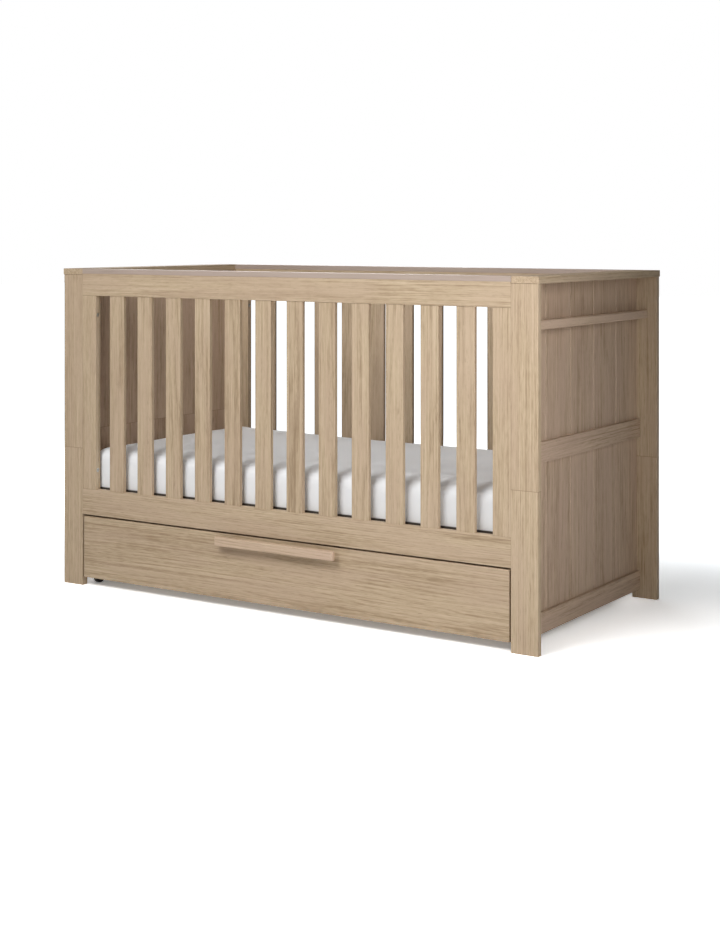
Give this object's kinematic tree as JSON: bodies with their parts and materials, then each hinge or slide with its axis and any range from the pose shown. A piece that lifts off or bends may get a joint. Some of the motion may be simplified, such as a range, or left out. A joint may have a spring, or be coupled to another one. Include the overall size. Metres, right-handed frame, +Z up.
{
  "type": "baby crib",
  "caption": "Wooden baby crib with slatted long sides, grooved solid ends, a mattress and an under-bed drawer that rolls out on castors.",
  "frame": {"origin": "on the floor, at the middle of the crib's overall box in length and depth, drawer handle included", "axes": "+X along the length, to the right as seen from the front; +Y from the drawer front to the back; +Z up"},
  "size_m": [1.56, 0.784, 0.924],
  "materials": {
    "oak": "matt lacquered pale oak with a fine open grain",
    "handle_oak": "matt lacquered pale oak, slightly pinker and smoother",
    "base_pine": "planed unfinished pine",
    "dowel_beech": "fluted beech dowel",
    "drawer_box_board": "pale oak effect board",
    "strip_plastic": "satin moulded plastic, warm grey beige",
    "steel": "zinc plated steel",
    "mattress_cover": "white stretch fitted sheet",
    "castor_tread": "black moulded wheel",
    "castor_bracket": "black moulded nylon"
  },
  "bodies": {
    "frame": {"back_bottom_rail": "oak", "back_left_stile": "oak", "back_right_stile": "oak", "back_slats": "oak", "back_teething_strip": "strip_plastic", "back_top_rail": "oak", "base_back_rail": "base_pine", "base_bolts": "steel", "base_brackets": "steel", "base_front_rail": "base_pine", "base_inserts": "steel", "base_left_rail": "base_pine", "base_right_rail": "base_pine", "base_slats": "base_pine", "drawer_stops": "base_pine", "front_bottom_rail": "oak", "front_left_stile": "oak", "front_right_stile": "oak", "front_slats": "oak", "front_teething_strip": "strip_plastic", "front_top_rail": "oak", "left_back_post_lower": "oak", "left_back_post_upper": "oak", "left_cap": "oak", "left_foot_rail": "oak", "left_front_post_lower": "oak", "left_front_post_upper": "oak", "left_hanging_rail": "handle_oak", "left_mid_rail": "oak", "left_panel_lower": "oak", "left_panel_upper": "oak", "panel_dowels": "dowel_beech", "post_pins": "steel", "right_back_post_lower": "oak", "right_back_post_upper": "oak", "right_cap": "oak", "right_foot_rail": "oak", "right_front_post_lower": "oak", "right_front_post_upper": "oak", "right_hanging_rail": "handle_oak", "right_mid_rail": "oak", "right_panel_lower": "oak", "right_panel_upper": "oak", "side_bolts": "steel", "side_inserts": "steel"},
    "mattress": {"mattress": "mattress_cover"},
    "drawer": {"castor_axles": "steel", "castor_brackets": "castor_bracket", "drawer_back": "drawer_box_board", "drawer_floor": "drawer_box_board", "drawer_front": "oak", "drawer_handle": "handle_oak", "drawer_left_side": "drawer_box_board", "drawer_right_side": "drawer_box_board", "handle_screws": "steel", "handle_spacers": "handle_oak"},
    "castor_front_left": {"castor_wheel_front_left": "castor_tread"},
    "castor_front_right": {"castor_wheel_front_right": "castor_tread"},
    "castor_back_left": {"castor_wheel_back_left": "castor_tread"},
    "castor_back_right": {"castor_wheel_back_right": "castor_tread"}
  },
  "joints": [
    {"name": "drawer_slide", "type": "slide", "parent": "frame", "child": "drawer", "axis": [0, -1, 0], "range_m": [0, 0.55]},
    {"name": "mattress_lift", "type": "slide", "parent": "frame", "child": "mattress", "axis": [0, 0, 1], "range_m": [0, 0.66]},
    {"name": "castor_front_left_roll", "type": "hinge", "parent": "drawer", "child": "castor_front_left", "pos_m": [-0.6895, -0.30495, 0.02], "axis": [1, 0, 0], "continuous": true},
    {"name": "castor_front_right_roll", "type": "hinge", "parent": "drawer", "child": "castor_front_right", "pos_m": [0.6895, -0.30495, 0.02], "axis": [1, 0, 0], "continuous": true},
    {"name": "castor_back_left_roll", "type": "hinge", "parent": "drawer", "child": "castor_back_left", "pos_m": [-0.652, 0.27405, 0.02], "axis": [1, 0, 0], "continuous": true},
    {"name": "castor_back_right_roll", "type": "hinge", "parent": "drawer", "child": "castor_back_right", "pos_m": [0.652, 0.27405, 0.02], "axis": [1, 0, 0], "continuous": true}
  ],
  "couplings": [
    {"joint": "castor_front_left_roll", "follows": "drawer_slide", "rad_per_m": 50},
    {"joint": "castor_front_right_roll", "follows": "drawer_slide", "rad_per_m": 50},
    {"joint": "castor_back_left_roll", "follows": "drawer_slide", "rad_per_m": 50},
    {"joint": "castor_back_right_roll", "follows": "drawer_slide", "rad_per_m": 50}
  ]
}
